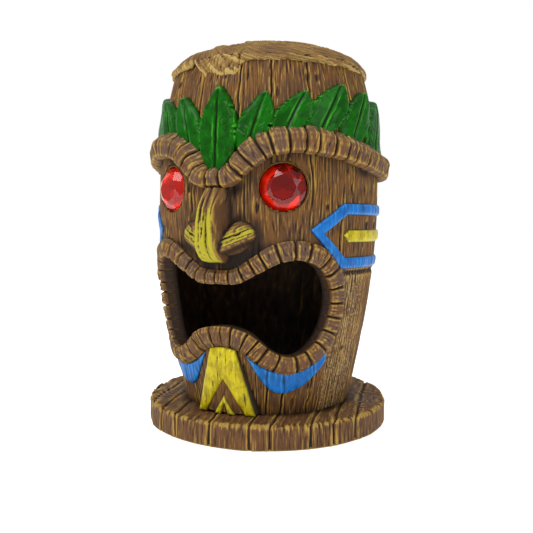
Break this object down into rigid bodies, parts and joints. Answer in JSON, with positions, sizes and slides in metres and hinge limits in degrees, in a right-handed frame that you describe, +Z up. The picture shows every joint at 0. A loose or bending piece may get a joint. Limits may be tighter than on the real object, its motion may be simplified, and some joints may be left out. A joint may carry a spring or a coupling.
{
  "type": "tiki head ornament",
  "caption": "Hollow barrel-shaped tiki head with an open mouth, faceted gem eyes, leaf crown, segmented brow and lips, thatch cap and round plank plinth.",
  "frame": {"origin": "centre of the plinth's flat underside", "axes": "+Z up along the barrel's axis, -Y out of the face, +X to the viewer's right"},
  "size_m": [0.1038, 0.1091, 0.1585],
  "materials": {
    "barrel_resin": "cast polyresin with carved wood grain, brown wash, ochre dry-brushed ridges",
    "plinth_resin": "cast polyresin planks, brown wash, ochre dry-brushed edges",
    "thatch_resin": "cast polyresin with combed strands, ochre dry-brushed",
    "band_resin": "cast polyresin blocks with dark joints and ochre edges",
    "nose_resin": "cast polyresin, brown wash under yellow-green dry brushing",
    "green_enamel": "glossy green enamel over cast resin",
    "blue_enamel": "satin blue enamel over cast resin",
    "yellow_enamel": "satin yellow enamel over cast resin with dark grain",
    "red_acrylic": "clear red faceted acrylic with a mirrored flat back"
  },
  "bodies": {
    "root": {"plinth": "plinth_resin", "barrel": "barrel_resin", "thatch_cap": "thatch_resin", "brow_band": "band_resin", "lip_band": "band_resin", "nose": "nose_resin", "chin_plate": "barrel_resin", "chin_chevron_large": "yellow_enamel", "chin_chevron_small": "yellow_enamel", "leaf_front": "green_enamel", "leaf_left_1": "green_enamel", "leaf_left_2": "green_enamel", "leaf_left_3": "green_enamel", "leaf_left_4": "green_enamel", "leaf_left_5": "green_enamel", "leaf_left_6": "green_enamel", "leaf_right_1": "green_enamel", "leaf_right_2": "green_enamel", "leaf_right_3": "green_enamel", "leaf_right_4": "green_enamel", "leaf_right_5": "green_enamel", "leaf_right_6": "green_enamel", "gem_left": "red_acrylic", "cheek_arrow_left": "blue_enamel", "cheek_bar_left": "yellow_enamel", "chin_swoosh_left": "blue_enamel", "gem_right": "red_acrylic", "cheek_arrow_right": "blue_enamel", "cheek_bar_right": "yellow_enamel", "chin_swoosh_right": "blue_enamel"}
  },
  "joints": []
}
